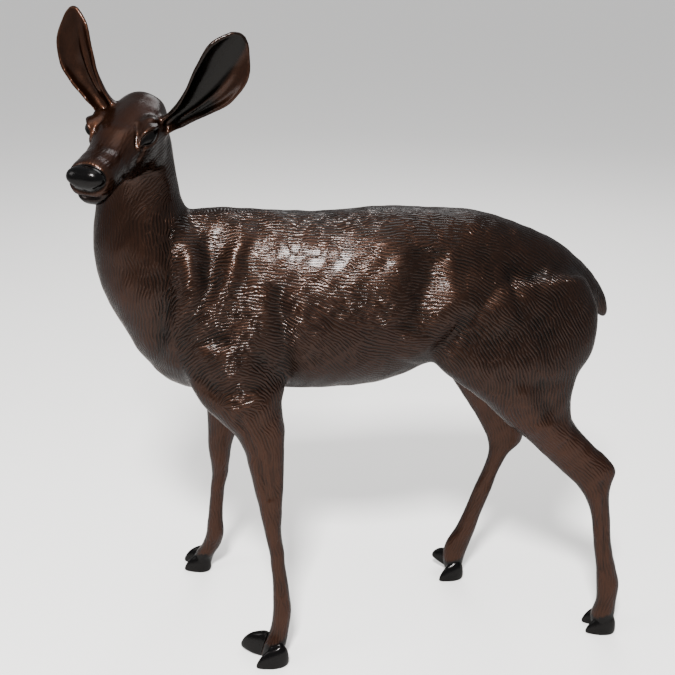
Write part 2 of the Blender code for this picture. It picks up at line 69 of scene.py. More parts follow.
trunk = {
    # x, top z, bottom z, half width, share narrower at the top
    "slices": (
        (-0.535, 0.860, 0.740, 0.050, 0.00),
        (-0.500, 0.920, 0.679, 0.088, 0.05),
        (-0.440, 0.979, 0.619, 0.112, 0.12),
        (-0.360, 1.002, 0.598, 0.122, 0.26),
        (-0.250, 0.998, 0.605, 0.134, 0.30),
        (-0.120, 0.990, 0.601, 0.150, 0.24),
        (0.020, 0.998, 0.614, 0.153, 0.20),
        (0.120, 0.993, 0.653, 0.138, 0.20),
        (0.220, 0.984, 0.685, 0.120, 0.16),
        (0.320, 0.950, 0.680, 0.108, 0.16),
        (0.400, 0.912, 0.660, 0.088, 0.12),
        (0.450, 0.872, 0.680, 0.064, 0.08),
        (0.485, 0.838, 0.725, 0.034, 0.00),
    ),
    # the neck, sliced level: z, front x, back x, middle y, half width
    "neck": (
        (0.680, -0.500, -0.250, 0.000, 0.085),
        (0.750, -0.540, -0.230, 0.000, 0.112),
        (0.840, -0.578, -0.250, 0.000, 0.118),
        (0.900, -0.588, -0.290, 0.000, 0.108),
        (0.960, -0.585, -0.370, -0.002, 0.096),
        (1.020, -0.573, -0.400, -0.006, 0.084),
        (1.080, -0.560, -0.408, -0.014, 0.075),
        (1.140, -0.548, -0.413, -0.024, 0.068),
        (1.190, -0.532, -0.424, -0.034, 0.058),
    ),
    "tail": ((0.492, 0.000, 0.787), (0.065, 0.024, 0.023), -62),
    # muscles of both sides: middle, half sizes, pitch in degrees
    "haunch": (
        ((0.255, 0.090, 0.752), (0.155, 0.060, 0.092), 36),
        ((0.350, 0.070, 0.772), (0.114, 0.050, 0.104), 20),
        ((0.110, 0.080, 0.845), (0.060, 0.036, 0.080), 70),
    ),
    "shoulder": (
        ((-0.285, 0.092, 0.725), (0.115, 0.042, 0.070), 62),
        ((-0.405, 0.070, 0.745), (0.075, 0.044, 0.085), -15),
        ((-0.216, 0.106, 0.634), (0.018, 0.018, 0.030), 0),
    ),
    "farShoulderForward": 0.035,
}

# The legs, sliced level: z, front x, back x, middle y away from the midplane, half width.
legs = {
    "nearFore": (near, (
        (0.740, -0.420, -0.215, 0.088, 0.050),
        (0.660, -0.405, -0.212, 0.098, 0.052),
        (0.600, -0.374, -0.207, 0.105, 0.049),
        (0.567, -0.342, -0.205, 0.109, 0.043),
        (0.535, -0.311, -0.202, 0.113, 0.037),
        (0.501, -0.293, -0.205, 0.118, 0.033),
        (0.446, -0.280, -0.207, 0.125, 0.028),
        (0.391, -0.269, -0.211, 0.132, 0.024),
        (0.350, -0.261, -0.214, 0.138, 0.023),
        (0.315, -0.254, -0.216, 0.143, 0.022),
        (0.279, -0.247, -0.213, 0.148, 0.018),
        (0.192, -0.239, -0.206, 0.160, 0.017),
        (0.150, -0.239, -0.201, 0.165, 0.019),
        (0.120, -0.240, -0.199, 0.169, 0.021),
        (0.075, -0.247, -0.205, 0.175, 0.020),
        (0.040, -0.262, -0.212, 0.182, 0.024),
        (0.012, -0.270, -0.220, 0.184, 0.020),
    )),
    "farFore": (far, (
        (0.740, -0.450, -0.245, 0.088, 0.050),
        (0.660, -0.432, -0.240, 0.098, 0.052),
        (0.600, -0.410, -0.250, 0.106, 0.049),
        (0.557, -0.388, -0.262, 0.111, 0.042),
        (0.510, -0.381, -0.282, 0.118, 0.034),
        (0.450, -0.381, -0.304, 0.127, 0.028),
        (0.390, -0.383, -0.324, 0.134, 0.024),
        (0.339, -0.379, -0.332, 0.140, 0.023),
        (0.303, -0.378, -0.338, 0.145, 0.019),
        (0.267, -0.382, -0.346, 0.149, 0.017),
        (0.193, -0.391, -0.356, 0.159, 0.017),
        (0.150, -0.397, -0.357, 0.165, 0.020),
        (0.115, -0.402, -0.357, 0.170, 0.021),
        (0.078, -0.414, -0.366, 0.180, 0.020),
        (0.040, -0.436, -0.386, 0.190, 0.023),
        (0.012, -0.448, -0.394, 0.195, 0.019),
    )),
    "nearHind": (near, (
        (0.860, 0.200, 0.440, 0.070, 0.050),
        (0.780, 0.150, 0.472, 0.085, 0.060),
        (0.700, 0.108, 0.464, 0.098, 0.066),
        (0.645, 0.155, 0.434, 0.106, 0.062),
        (0.592, 0.222, 0.420, 0.112, 0.052),
        (0.540, 0.276, 0.427, 0.116, 0.041),
        (0.503, 0.322, 0.453, 0.118, 0.034),
        (0.471, 0.355, 0.483, 0.119, 0.029),
        (0.440, 0.386, 0.516, 0.119, 0.026),
        (0.410, 0.417, 0.535, 0.120, 0.025),
        (0.380, 0.448, 0.528, 0.122, 0.024),
        (0.350, 0.469, 0.525, 0.124, 0.023),
        (0.310, 0.485, 0.529, 0.128, 0.020),
        (0.228, 0.499, 0.540, 0.134, 0.018),
        (0.165, 0.509, 0.555, 0.138, 0.019),
        (0.125, 0.513, 0.565, 0.141, 0.022),
        (0.080, 0.515, 0.562, 0.145, 0.020),
        (0.040, 0.507, 0.561, 0.144, 0.024),
        (0.012, 0.508, 0.554, 0.144, 0.020),
    )),
    "farHind": (far, (
        (0.860, 0.160, 0.420, 0.070, 0.050),
        (0.780, 0.110, 0.442, 0.085, 0.060),
        (0.700, 0.110, 0.442, 0.096, 0.066),
        (0.640, 0.140, 0.425, 0.101, 0.062),
        (0.590, 0.176, 0.400, 0.103, 0.053),
        (0.540, 0.210, 0.378, 0.104, 0.043),
        (0.495, 0.239, 0.372, 0.104, 0.035),
        (0.450, 0.267, 0.376, 0.103, 0.029),
        (0.412, 0.287, 0.385, 0.102, 0.026),
        (0.382, 0.299, 0.381, 0.102, 0.024),
        (0.349, 0.302, 0.350, 0.102, 0.023),
        (0.316, 0.295, 0.334, 0.102, 0.020),
        (0.249, 0.271, 0.314, 0.103, 0.018),
        (0.181, 0.248, 0.292, 0.104, 0.018),
        (0.135, 0.230, 0.280, 0.105, 0.021),
        (0.095, 0.207, 0.268, 0.105, 0.020),
        (0.055, 0.200, 0.256, 0.106, 0.023),
        (0.020, 0.206, 0.250, 0.106, 0.020),
    )),
}

hooves = {
    # leg, toe and heel as (behind the leg's end, out from it in widths of a claw), the toe's
    # rise, how large the claw is
    "claws": (
        ("nearFore", (-0.036, 0.84), (0.036, 0.46), 0.000, 1.02),
        ("nearFore", (-0.066, -1.14), (0.000, -0.48), 0.006, 1.15),
        ("farFore", (-0.046, 0.78), (0.023, 0.58), 0.000, 1.00),
        ("farFore", (-0.043, -0.36), (0.026, -0.42), 0.000, 1.00),
        ("nearHind", (-0.040, 0.36), (0.031, 0.36), 0.000, 1.00),
        ("nearHind", (-0.036, -0.72), (0.031, -0.62), 0.000, 1.00),
        ("farHind", (-0.050, 0.98), (0.018, 0.50), 0.032, 1.00),
        ("farHind", (-0.042, -0.86), (0.022, -0.34), 0.000, 1.00),
    ),
    "width": 0.037,
    "height": 0.047,
    "cleft": 0.005,           # metres between the two claws of a foot
    # share of the height, share of the sole's size, how far back
    "rings": (
        (0.00, 0.93, 0.00),
        (0.03, 0.97, 0.00),
        (0.12, 1.00, 0.01),
        (0.28, 0.98, 0.05),
        (0.42, 0.93, 0.09),
        (0.70, 0.76, 0.19),
        (0.90, 0.52, 0.27),
        (0.97, 0.36, 0.30),
        (1.00, 0.18, 0.31),
    ),
}

head = {
    "poll": (-0.466, -0.030, 1.239),
    "noseWay": (-0.315, -0.856, -0.411),
    "length": 0.275,
    "tilt": 6.0,
    # in shares of the head's length: place along, top, bottom, half width
    "slices": (
        (-0.100, -0.080, -0.260, 0.090),
        (-0.020, -0.005, -0.400, 0.170),
        (0.100, 0.008, -0.475, 0.212),
        (0.230, 0.018, -0.480, 0.230),
        (0.360, 0.014, -0.450, 0.222),
        (0.480, 0.010, -0.405, 0.195),
        (0.620, -0.008, -0.355, 0.165),
        (0.760, 0.005, -0.325, 0.148),
        (0.880, 0.020, -0.305, 0.148),
        (0.960, 0.000, -0.275, 0.127),
        (0.998, -0.050, -0.215, 0.088),
    ),
    # brow, eye mound, cheek and nose bulb: along, out, up, half sizes
    "forms": (
        (0.335, 0.188, -0.038, (0.130, 0.062, 0.050)),
        (0.368, 0.192, -0.094, (0.088, 0.070, 0.060)),
        (0.230, 0.170, -0.300, (0.170, 0.060, 0.140)),
        (0.950, 0.052, -0.058, (0.070, 0.086, 0.075)),
    ),
    "middle": (0.480, 0.000, -0.200),
    "spread": (0.640, 0.360, 0.360),
    # touches of both sides: along, out, up, reach, height
    "touches": (
        (0.560, 0.130, -0.120, 0.110, -0.012),
        (0.600, 0.150, -0.270, 0.100, -0.010),
        (0.480, 0.060, 0.010, 0.090, 0.006),
        (0.930, 0.060, -0.300, 0.060, 0.012),
    ),
    # grooves of both sides, lines of (along, out, up), reach, depth
    "grooves": (
        (((1.010, 0.000, -0.190), (0.960, 0.110, -0.205), (0.860, 0.150, -0.205),
          (0.740, 0.160, -0.190)), 0.016, 0.034),
        (((0.455, 0.200, -0.115), (0.500, 0.190, -0.150), (0.550, 0.180, -0.190)), 0.013, 0.016),
        (((1.010, 0.000, -0.110), (1.010, 0.000, -0.190)), 0.009, 0.014),
    ),
    # the eye: middle, the way to its outer corner, half length, half height
    "eye": ((0.412, 0.220, -0.080), (-0.54, 0.80, 0.26), 0.080, 0.046),
    "nostril": ((0.975, 0.086, -0.092), (0.028, 0.032, 0.020), 0.036),  # middle, reach, depth
    "nosePad": (0.962, -0.055, 0.090, 0.140, 0.088),   # along, up, half sizes along, out, up
}

ears = {
    # root, tip, the way the cup opens, half width, sideways bow, how wide the base is
    "near": ((-0.442, -0.055, 1.168), (-0.264, -0.125, 1.350), (0.15, -0.90, -0.10),
             0.051, 0.0190, 0.85),
    "far": ((-0.512, -0.040, 1.194), (-0.580, -0.040, 1.397), (-0.25, -0.90, 0.10),
            0.034, -0.0235, 1.35),
    # along, share of the half width, curl of the edges in degrees
    "leaf": (
        (0.00, 0.34, 130.0),
        (0.16, 0.38, 122.0),
        (0.27, 0.43, 108.0),
        (0.44, 0.67, 84.0),
        (0.64, 0.94, 62.0),
        (0.82, 0.92, 48.0),
        (0.95, 0.48, 36.0),
        (1.00, 0.12, 20.0),
    ),
    "wall": 0.0080,           # metres
    "rim": 0.0115,            # metres, the rolled edge
    "fold": 0.0085,           # metres, the ridge that runs up the inside
}

# Ridges and valleys of both flanks, fading at their ends: points (x, z), reach, height.
flankLines = {
    "shoulder": (
        (((-0.378, 0.975), (-0.388, 0.850), (-0.450, 0.720)), 0.026, 0.009),
        (((-0.346, 0.960), (-0.358, 0.860), (-0.425, 0.720)), 0.020, -0.004),
        (((-0.278, 0.975), (-0.306, 0.880), (-0.370, 0.780), (-0.420, 0.720)), 0.020, 0.010),
        (((-0.226, 0.950), (-0.240, 0.800), (-0.230, 0.660)), 0.026, 0.002),
        (((-0.412, 0.980), (-0.440, 0.810), (-0.480, 0.660)), 0.020, -0.012),
        (((-0.214, 0.870), (-0.202, 0.740), (-0.188, 0.620)), 0.020, -0.014),
        (((-0.395, 0.700), (-0.335, 0.650), (-0.240, 0.655)), 0.018, -0.007),
    ),
    "haunch": (
        (((0.040, 0.920), (0.030, 0.850), (0.022, 0.790)), 0.028, 0.003),
        (((0.105, 0.930), (0.085, 0.830), (0.062, 0.760)), 0.034, -0.012),
        (((0.150, 0.910), (0.240, 0.900), (0.340, 0.850)), 0.030, -0.005),
        (((0.060, 0.690), (0.130, 0.800), (0.270, 0.840)), 0.044, 0.015),
        (((0.235, 0.672), (0.340, 0.646), (0.450, 0.655)), 0.018, -0.003),
        (((0.345, 0.660), (0.350, 0.550)), 0.030, -0.006),
        (((0.280, 0.630), (0.330, 0.570), (0.400, 0.500)), 0.022, 0.005),
    ),
}

# Tendon grooves of the legs: points (x, y, z), reach, height.
legLines = (
    (((-0.305, -0.150, 0.600), (-0.268, -0.155, 0.500), (-0.240, -0.155, 0.390)), 0.008, -0.005),
    (((-0.265, -0.160, 0.610), (-0.235, -0.155, 0.500), (-0.225, -0.155, 0.390)), 0.007, -0.004),
    (((-0.340, 0.150, 0.580), (-0.340, 0.152, 0.480), (-0.352, 0.155, 0.370)), 0.008, -0.005),
    (((-0.225, -0.168, 0.300), (-0.223, -0.178, 0.240), (-0.220, -0.184, 0.160)), 0.006, -0.004),
    (((-0.352, 0.160, 0.310), (-0.358, 0.165, 0.250), (-0.365, 0.176, 0.170)), 0.006, -0.004),
    (((0.498, -0.145, 0.400), (0.512, -0.150, 0.300), (0.520, -0.154, 0.160)), 0.006, -0.004),
    (((0.350, 0.125, 0.410), (0.318, 0.122, 0.300), (0.283, 0.122, 0.180)), 0.006, -0.004),
)

coat = {
    "foreTurn": (-0.290, 0.615),    # x, z: the strokes arch over the top of the foreleg
    "hindTurn": (0.060, 0.620),     # and over the stifle, down the thigh
    "turnAt": 1.05,                 # radians, where a stroke's way changes its sign
    "lumps": 0.0006,                # metres, the hand-worked unevenness
    "lumpSize": 0.045,
    # how much weaker the strokes are than on the flanks
    "weaker": {"belly": 0.85, "head": 0.92, "ears": 0.80, "legs": 0.45, "neck": 0.55,
               "chest": 0.50},
}

size = figure["withersHeight"]


def smoothRows(rows, count):
    # Hermite curve through the given rows, read off at evenly spaced places.
    rows = np.asarray(rows, dtype=float)
    steps = np.linalg.norm(np.diff(rows[:, :3], axis=0), axis=1)
    places = np.concatenate(([0.0], np.cumsum(steps)))
    slopes = np.gradient(rows, places, axis=0)
    wanted = np.linspace(0.0, places[-1], count)
    left = np.clip(np.searchsorted(places, wanted, side="right") - 1, 0, len(places) - 2)
    width = (places[left + 1] - places[left])[:, None]
    t = (wanted - places[left])[:, None] / width
    return ((2 * t**3 - 3 * t**2 + 1) * rows[left] + (t**3 - 2 * t**2 + t) * width * slopes[left]
            + (3 * t**2 - 2 * t**3) * rows[left + 1] + (t**3 - t**2) * width * slopes[left + 1])


def ramp(values, low, high):
    # Rises smoothly from 0 at low to 1 at high.
    share = np.clip((values - low) / (high - low), 0.0, 1.0)
    return share * share * (3.0 - 2.0 * share)


def bell(away, reach):
    return np.exp(-(away / reach)**2)


def closedTube(rings):
    # Rings of points, one after another, closed by a pole at each end; triangles facing out.
    count, around = rings.shape[:2]
    points = np.concatenate((rings.reshape(-1, 3), rings[:1].mean(axis=1), rings[-1:].mean(axis=1)))
    i, j = np.meshgrid(np.arange(count - 1), np.arange(around), indexing="ij")
    a, b = i * around + j, i * around + (j + 1) % around
    c, d = b + around, a + around
    sides = np.concatenate((np.stack([a, b, c], axis=2).reshape(-1, 3),
                            np.stack([a, c, d], axis=2).reshape(-1, 3)))
    k = np.arange(around)
    after = (k + 1) % around
    first = np.stack([np.full(around, count * around), after, k], axis=1)
    top = (count - 1) * around
    last = np.stack([np.full(around, count * around + 1), top + k, top + after], axis=1)
    faces = np.concatenate((sides, first, last))
    corners = points[faces] - points.mean(axis=0)
    volume = np.sum(corners[:, 0] * np.cross(corners[:, 1], corners[:, 2]))
    return points, faces if volume > 0 else faces[:, ::-1]


def circle(count):
    angles = np.linspace(0.0, 2 * math.pi, count, endpoint=False)
    return np.cos(angles), np.sin(angles)


def trunkForm():
    # Slices across the length: ovals with half height * cos and half width * sin of the angle,
    # narrowed towards the top by the last number.
    rows = smoothRows(trunk["slices"], 160)
    x, top, bottom, half, taper = [rows[:, i][:, None] for i in range(5)]
    cos, sin = circle(128)
    z = (top + bottom) / 2 + (top - bottom) / 2 * cos
    y = half * sin * (1.0 - taper * (cos + 0.25))
    return closedTube(size * np.stack([np.broadcast_to(x, y.shape), y, z], axis=2))


def levelForm(side, rows):
    # Slices lying level: ovals between the front x and the back x.
    rows = smoothRows(rows, 12 * len(rows))
    z, front, back, middle, half = [rows[:, i][:, None] for i in range(5)]
    cos, sin = circle(64)
    x = (front + back) / 2 + (back - front) / 2 * cos
    y = side * middle + half * sin
    return closedTube(size * np.stack([x, y, np.broadcast_to(z, x.shape)], axis=2))


def egg(middle, axes):
    # An ellipsoid: the middle plus three half axes times the unit sphere.
    turn = np.linspace(0.02, math.pi - 0.02, 36)[:, None]
    cos, sin = circle(48)
    unit = np.stack([np.sin(turn) * cos, np.sin(turn) * sin,
                     np.cos(turn) * np.ones_like(cos)], axis=2)
    return closedTube(middle + unit @ np.array(axes))


def muscle(side, middle, halves, pitch):
    turn = math.radians(pitch)
    x, y, z = middle
    axes = np.array(((halves[0] * math.cos(turn), 0.0, halves[0] * math.sin(turn)),
                     (0.0, halves[1], 0.0),
                     (-halves[2] * math.sin(turn), 0.0, halves[2] * math.cos(turn))))
    return egg(size * np.array((x, side * y, z)), size * axes)


def headAxes():
    ahead = np.array(head["noseWay"]) / np.linalg.norm(head["noseWay"])
    right = np.cross(ahead, (0.0, 0.0, 1.0))
    right /= np.linalg.norm(right)
    above = np.cross(right, ahead)
    cos, sin = math.cos(math.radians(head["tilt"])), math.sin(math.radians(head["tilt"]))
    return np.array((ahead, right * cos + above * sin, above * cos - right * sin))


def headPoint(shares):
    # From (along, out, up) in shares of the head's length to metres.
    return size * (np.array(head["poll"]) + head["length"] * np.asarray(shares) @ headAxes())


def headShares(points):
    return (points / size - np.array(head["poll"])) @ headAxes().T / head["length"]


def bothSides(shares):
    # The head's far half stands for its near half too.
    return np.stack([shares[:, 0], np.abs(shares[:, 1]), shares[:, 2]], axis=1)


def headForm():
    # Ovals across the nose's way, wider above than below.
    rows = smoothRows(head["slices"], 110)
    along, top, bottom, half = [rows[:, i][:, None] for i in range(4)]
    cos, sin = circle(96)
    up = (top + bottom) / 2 + (top - bottom) / 2 * cos
    out = half * sin * (1.0 + 0.22 * cos)
    return closedTube(headPoint(np.stack([np.broadcast_to(along, out.shape), out, up], axis=2)))


def headForms():
    made = []
    for along, out, up, halves in head["forms"]:
        axes = size * head["length"] * np.diag(halves) @ headAxes()
        made += [egg(headPoint((along, side * out, up)), axes) for side in (near, far)]
    return made


def earAxes(root, tip, opening):
    # The root, the length, and the ways to the tip, out of the cup and to its front edge.
    root, tip = size * np.array(root), size * np.array(tip)
    axis = tip - root
    length = np.linalg.norm(axis)
    axis /= length
    opening = np.array(opening) - np.dot(opening, axis) * axis
    opening /= np.linalg.norm(opening)
    return root, length, axis, opening, np.cross(axis, opening)


def earForm(root, tip, opening, halfWidth, bow, base):
    # A long leaf: its cross-section is a flat ring with a thick edge, bent round an arc.
    root, length, axis, opening, side = earAxes(root, tip, opening)
    rows = smoothRows(ears["leaf"], 90)
    along, width, curl = [rows[:, i][:, None] for i in range(3)]
    curl = np.radians(curl)
    width = width * (1.0 + (base - 1.0) * (1.0 - along)**2 * 2)
    radius = size * halfWidth * width / np.sin(np.minimum(curl, math.pi / 2))
    cos, sin = circle(96)
    across = np.sign(cos) * np.abs(cos)**0.75
    rim = bell(1.0 - np.abs(across), 0.16)
    half = (ears["wall"] * (1.0 - rim) + ears["rim"] * rim) / 2
    fold = ears["fold"] * bell(across - 0.36, 0.12) * np.sin(math.pi * np.clip(along * 1.25, 0, 1))
    lift = half * np.sign(sin) * np.abs(sin)**0.55 + np.where(sin > 0, fold, 0.0)
    turn = across * curl
    inner = radius - lift
    sideways = inner * np.sin(turn) + size * bow * np.sin(math.pi * along)
    outward = radius - inner * np.cos(turn)
    return closedTube(root + (along * length)[:, :, None] * axis + sideways[:, :, None] * side
                      + outward[:, :, None] * opening)


def besideLeg(leg, behind, out):
    side, rows = legs[leg]
    front, back, middle = rows[-1][1:4]
    return size * np.array(((front + back) / 2 + behind, side * (middle + out * hooves["width"])))


def clawPlace(leg, toe, heel, large):
    # The claw's middle, half its length, the way to its toe and the way across.
    toe, heel = besideLeg(leg, *toe), besideLeg(leg, *heel)
    length = np.linalg.norm(toe - heel)
    way = (toe - heel) / length
    return (toe + heel) / 2, large * length / 2, way, np.array((-way[1], way[0]))


def clawForm(leg, toe, heel, rise, large):
    # Almond rings that shrink and lean back as they rise.
    middle, reach, way, sideways = clawPlace(leg, toe, heel, large)
    half = large * (size * hooves["width"] - hooves["cleft"]) / 2
    rows = smoothRows(hooves["rings"], 40)
    level, share, back = [rows[:, i][:, None] for i in range(3)]
    cos, sin = circle(64)
    along = reach * (share * cos - back)
    wide = half * share * sin * (1.0 - 0.35 * cos)
    plan = middle + along[:, :, None] * way + wide[:, :, None] * sideways
    height = large * size * hooves["height"] * level * (1.0 - 0.06 * cos)
    height = height + size * rise * (1.0 + along / reach) / 2
    return closedTube(np.concatenate((plan, height[:, :, None]), axis=2))


def allForms():
    forms = [trunkForm(), levelForm(far, trunk["neck"]), headForm(), muscle(near, *trunk["tail"])]
    forms += [levelForm(side, rows) for side, rows in legs.values()]
    for side, step in ((near, 0.0), (far, trunk["farShoulderForward"])):
        forms += [muscle(side, *row) for row in trunk["haunch"]]
        forms += [muscle(side, (x - step, y, z), *rest) for (x, y, z), *rest in trunk["shoulder"]]
    forms += headForms()
    forms += [earForm(*ears["near"]), earForm(*ears["far"])]
    forms += [clawForm(*row) for row in hooves["claws"]]
    return forms


def meshObject(name, points, faces):
    mesh = bpy.data.meshes.new(name)
    mesh.from_pydata(points.tolist(), [], faces.tolist())
    made = bpy.data.objects.new(name, mesh)
    bpy.context.scene.collection.objects.link(made)
    return made


def applyModifiers(made):
    graph = bpy.context.evaluated_depsgraph_get()
    made.data = bpy.data.meshes.new_from_object(made.evaluated_get(graph))
    made.modifiers.clear()


def readPoints(mesh, what="co"):
    values = np.empty(3 * len(mesh.vertices), dtype=np.float32)
    mesh.vertices.foreach_get(what, values)
    return values.reshape(-1, 3).astype(float)


def writePoints(mesh, points):
    mesh.vertices.foreach_set("co", points.astype(np.float32).ravel())
    mesh.update()


def shareGroup(made, name, shares):
    # A vertex group from shares of 0 to 1, in 20 steps.
    group = made.vertex_groups.new(name=name)
    steps = np.round(np.clip(shares, 0, 1) * 20).astype(int)
    for step in range(1, 21):
        group.add(np.flatnonzero(steps == step).tolist(), step / 20, "REPLACE")


def soften(made, times, amount, shares):
    # Each point moves towards the mean of its neighbours, again and again.
    shareGroup(made, "soft", shares)
    smooth = made.modifiers.new("smooth", "SMOOTH")
    smooth.factor, smooth.iterations, smooth.vertex_group = amount, times, "soft"
    applyModifiers(made)
    made.vertex_groups.clear()


def toLine(points, line):
    # How far each point is from a curve, and where along the curve its nearest place is.
    curve = smoothRows(line, 13)
    nearest = np.full(len(points), np.inf)
    place = np.zeros(len(points))
    for index, (start, end) in enumerate(zip(curve[:-1], curve[1:])):
        run = end - start
        share = np.clip((points - start) @ run / np.dot(run, run), 0.0, 1.0)
        away = np.linalg.norm(points - start - share[:, None] * run, axis=1)
        place = np.where(away < nearest, (index + share) / (len(curve) - 1), place)
        nearest = np.minimum(nearest, away)
    return nearest, place


def fading(place):
    return np.sqrt(np.clip(4 * place * (1 - place), 0.0, 1.0))


def carveFlanks(points, normals):
    # Rise along each line: height * bell of the distance, fading to nothing at both ends.
    shares = points / size
    rise = np.zeros(len(points))
    chosen = np.flatnonzero((shares[:, 2] > 0.42) & (shares[:, 2] < 1.05))
    flat = shares[chosen] * (1.0, 0.0, 1.0)
    for side, step in ((near, 0.0), (far, trunk["farShoulderForward"])):
        outside = ramp(side * normals[chosen, 1], 0.0, 0.5)
        moved = [([(x - step, z) for x, z in line], *rest)
                 for line, *rest in flankLines["shoulder"]]
        for line, reach, height in (*moved, *flankLines["haunch"]):
            away, place = toLine(flat, [(x, 0.0, z) for x, z in line])
            rise[chosen] += outside * height * bell(away, reach) * fading(place)
    return points + normals * size * rise[:, None]


def eyeMeasure(mirrored):
    # An almond measure, 1 on the eye's edge: (across / half length)^2 + |up| / half height.
    middle, corner, halfLength, halfHeight = head["eye"]
    corner = np.array(corner) / np.linalg.norm(corner)
    above = np.cross(np.cross(corner, (0.0, 0.0, 1.0)), corner)
    above /= np.linalg.norm(above)
    away = mirrored - middle
    up = away @ above / halfHeight
    close = 1.0 - ramp(np.linalg.norm(away, axis=1), 0.11, 0.15)
    along = (away @ corner / halfLength)**2
    return along + np.abs(up), up, close * (1.0 - ramp(along, 1.2, 2.4))


def eyeRise(mirrored):
    # The eyeball sunk under its lids, a thicker lid above, a crease outside it.
    measure, up, close = eyeMeasure(mirrored)
    above = ramp(up, -0.2, 0.5)
    ball = -0.012 + 0.026 * np.sqrt(np.clip(1.0 - measure, 0.0, 1.0))
    lid = (0.008 + 0.008 * above) * bell(measure - 1.35, 0.30)
    crease = -(0.003 + 0.008 * above) * bell(measure - 2.10, 0.36)
    return close * (np.where(measure < 1.0, ball, -0.012 * bell(measure - 1.0, 0.12))
                    + lid + crease)


def carveHead(points, normals):
    chosen = np.flatnonzero(np.linalg.norm(points - headPoint((0.6, 0, -0.15)), axis=1) < 0.24)
    shares = headShares(points[chosen])
    mirrored = bothSides(shares)
    rise = np.zeros(len(chosen))
    for along, out, up, reach, height in head["touches"]:
        rise += height * bell(np.linalg.norm(mirrored - (along, out, up), axis=1), reach)
    for line, reach, depth in head["grooves"]:
        rise -= depth * bell(toLine(mirrored, line)[0], reach)
    middle, reach, depth = head["nostril"]
    rise -= depth * bell(np.linalg.norm((mirrored - middle) / reach, axis=1), 1.0)
    edge = padMeasure(shares)
    rise += 0.018 * ramp(1.0 - edge, 0.0, 0.5) - 0.012 * bell(edge - 1.04, 0.07)
    rise += eyeRise(mirrored)
    moved = points.copy()
    moved[chosen] += size * head["length"] * normals[chosen] * rise[:, None]
    return moved


def padMeasure(shares):
    # 1 on the edge of the nose pad, less inside it.
    along, up, halfAlong, halfOut, halfUp = head["nosePad"]
    away = np.stack([(shares[:, 0] - along) / halfAlong, shares[:, 1] / halfOut,
                     (shares[:, 2] - up) / halfUp], axis=1)
    return np.linalg.norm(away, axis=1)


def carveLegs(points, normals):
    shares = points / size
    rise = np.zeros(len(points))
    chosen = np.flatnonzero(shares[:, 2] < 0.66)
    for line, reach, height in legLines:
        away, place = toLine(shares[chosen], line)
        rise[chosen] += height * bell(away, reach) * fading(place)
    return points + normals * size * rise[:, None]


def lumps(points, scale, seed):
    # A sum of sine waves that run in random ways; about -1 to 1.
    chance = np.random.default_rng(seed)
    ways = chance.normal(size=(14, 3))
    ways *= (2 * math.pi / scale) * chance.uniform(0.6, 1.4, 14)[:, None] / np.linalg.norm(
        ways, axis=1)[:, None]
    return np.sin(points @ ways.T + chance.uniform(0, 2 * math.pi, 14)).sum(axis=1) / 4.0


def shapeSurface(made, grain):
    # Softens the melted forms, carves them and makes them slightly uneven.
    finer = (softening["grain"] / grain)**2
    points = readPoints(made.data)
    height = points[:, 2] / size
    everywhere = np.ones(len(points))
    fleshy = ramp(height, 0.50, 0.64) * (1.0 - ramp(height, 0.98, 1.06))
    face = np.linalg.norm((headShares(points) - head["middle"]) / head["spread"], axis=1)
    face = 1.0 - ramp(face, 0.95, 1.15)
    soften(made, *softening["seams"], everywhere)
    for part, shares in (("flesh", fleshy), ("face", face)):
        times, amount = softening[part]
        soften(made, int(times * finer), amount, shares)
    print("softened")

    times, amount = softening["muscles"]
    writePoints(made.data, carveFlanks(readPoints(made.data), readPoints(made.data, "normal")))
    soften(made, int(times * finer), amount, fleshy)
    writePoints(made.data, carveLegs(readPoints(made.data), readPoints(made.data, "normal")))
    writePoints(made.data, carveHead(readPoints(made.data), readPoints(made.data, "normal")))
    soften(made, *softening["last"], everywhere)
    points, normals = readPoints(made.data), readPoints(made.data, "normal")
    uneven = coat["lumps"] * lumps(points, coat["lumpSize"], 5) * ramp(height, 0.08, 0.2)
    writePoints(made.data, points + normals * uneven[:, None])
    print("carved")


def bronzeDoe():
    forms = allForms()
    starts = np.cumsum([0] + [len(points) for points, _ in forms[:-1]])
    made = meshObject("bronze_doe", np.concatenate([points for points, _ in forms]),
                      np.concatenate([faces + start for (_, faces), start in zip(forms, starts)]))
    grain = figure["grain"]
    melt = made.modifiers.new("melt", "REMESH")
    melt.mode = "VOXEL"
    melt.voxel_size = grain
    applyModifiers(made)
    print("melted together:", len(made.data.vertices))
    shapeSurface(made, grain)

    faces = len(made.data.polygons)
    thin = made.modifiers.new("thin", "DECIMATE")
    thin.ratio = min(1.0, figure["triangles"] / (2.0 * faces))
    onHead = readPoints(made.data)[:, 2] / size > figure["headFrom"]
    shareGroup(made, "careful", np.where(onHead, figure["headCare"], 1.0))
    thin.vertex_group = "careful"
    thin.vertex_group_factor = 0.0001
    thin.use_collapse_triangulate = True
    applyModifiers(made)
    made.vertex_groups.clear()
    print("thinned:", len(made.data.polygons))
    return made


